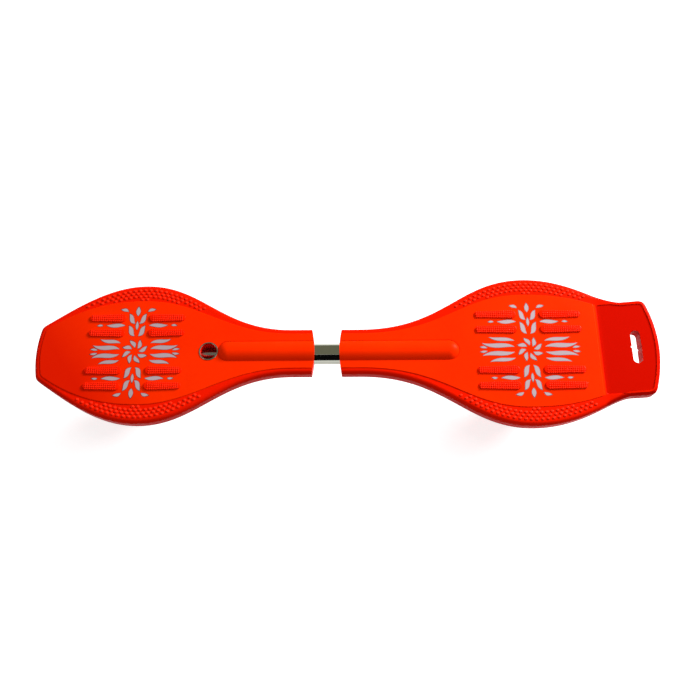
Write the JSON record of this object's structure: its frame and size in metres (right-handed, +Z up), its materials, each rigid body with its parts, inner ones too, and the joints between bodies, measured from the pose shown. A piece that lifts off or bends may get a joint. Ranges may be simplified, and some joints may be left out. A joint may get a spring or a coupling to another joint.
{
  "type": "caster board",
  "caption": "Two-deck caster board: moulded decks twist on a sprung steel tube, each deck on a sloped swivel caster, with grip bars and a kick with a carrying slot.",
  "frame": {"origin": "on the ground under the middle of the overall length and width", "axes": "+X along the board from the nose to the kick, +Y across it, +Z up"},
  "size_m": [0.86, 0.216, 0.133],
  "materials": {
    "deck_plastic": "satin gloss moulding",
    "tube_chrome": "polished plating",
    "spring_steel": "drawn steel",
    "zinc_steel": "zinc plated",
    "bearing_steel": "ground steel",
    "fork_paint": "black coat",
    "nylon": "moulded",
    "hub_nylon": "moulded",
    "tyre_urethane": "satin"
  },
  "bodies": {
    "front_half": {"front_deck": "deck_plastic", "torsion_tube": "tube_chrome", "torsion_bar": "spring_steel", "access_ring": "tube_chrome", "tube_plug_front": "nylon", "tube_plug_rear": "nylon", "front_anchor_block": "zinc_steel", "front_anchor_screw_left": "zinc_steel", "front_anchor_screw_right": "zinc_steel", "tube_bolt_1": "zinc_steel", "tube_bolt_2": "zinc_steel", "front_caster_plate": "fork_paint", "front_plate_screw_1": "zinc_steel", "front_plate_screw_2": "zinc_steel", "front_plate_screw_3": "zinc_steel", "front_plate_screw_4": "zinc_steel", "front_kingpin": "zinc_steel", "front_kingpin_nut": "zinc_steel", "front_upper_swivel_bearing": "bearing_steel", "front_lower_swivel_bearing": "bearing_steel"},
    "rear_half": {"rear_deck": "deck_plastic", "outer_neck_bush": "nylon", "inner_neck_bush": "nylon", "rear_anchor_block": "zinc_steel", "rear_anchor_screw_left": "zinc_steel", "rear_anchor_screw_right": "zinc_steel", "rear_caster_plate": "fork_paint", "rear_plate_screw_1": "zinc_steel", "rear_plate_screw_2": "zinc_steel", "rear_plate_screw_3": "zinc_steel", "rear_plate_screw_4": "zinc_steel", "rear_kingpin": "zinc_steel", "rear_kingpin_nut": "zinc_steel", "rear_upper_swivel_bearing": "bearing_steel", "rear_lower_swivel_bearing": "bearing_steel"},
    "front_swivel_fork": {"front_fork": "fork_paint", "front_axle_bolt": "zinc_steel", "front_axle_nut": "zinc_steel", "front_bearing_spacer": "bearing_steel"},
    "rear_swivel_fork": {"rear_fork": "fork_paint", "rear_axle_bolt": "zinc_steel", "rear_axle_nut": "zinc_steel", "rear_bearing_spacer": "bearing_steel"},
    "front_wheel": {"front_tyre": "tyre_urethane", "front_hub": "hub_nylon", "front_wheel_bearing_left": "bearing_steel", "front_wheel_bearing_right": "bearing_steel"},
    "rear_wheel": {"rear_tyre": "tyre_urethane", "rear_hub": "hub_nylon", "rear_wheel_bearing_left": "bearing_steel", "rear_wheel_bearing_right": "bearing_steel"}
  },
  "joints": [
    {"name": "deck_twist", "type": "hinge", "parent": "front_half", "child": "rear_half", "pos_m": [0, 0, 0.10351], "axis": [1, 0, 0], "range_deg": [-30, 30], "stiffness_Nm_per_rad": 15},
    {"name": "front_swivel", "type": "hinge", "parent": "front_half", "child": "front_swivel_fork", "pos_m": [-0.315, 0, 0.09501], "axis": [-0.5, 0, 0.866], "continuous": true},
    {"name": "rear_swivel", "type": "hinge", "parent": "rear_half", "child": "rear_swivel_fork", "pos_m": [0.232, 0, 0.09501], "axis": [-0.5, 0, 0.866], "continuous": true},
    {"name": "front_wheel_spin", "type": "hinge", "parent": "front_swivel_fork", "child": "front_wheel", "pos_m": [-0.24975, 0, 0.038], "axis": [0, 1, 0], "continuous": true},
    {"name": "rear_wheel_spin", "type": "hinge", "parent": "rear_swivel_fork", "child": "rear_wheel", "pos_m": [0.29725, 0, 0.038], "axis": [0, 1, 0], "continuous": true}
  ]
}
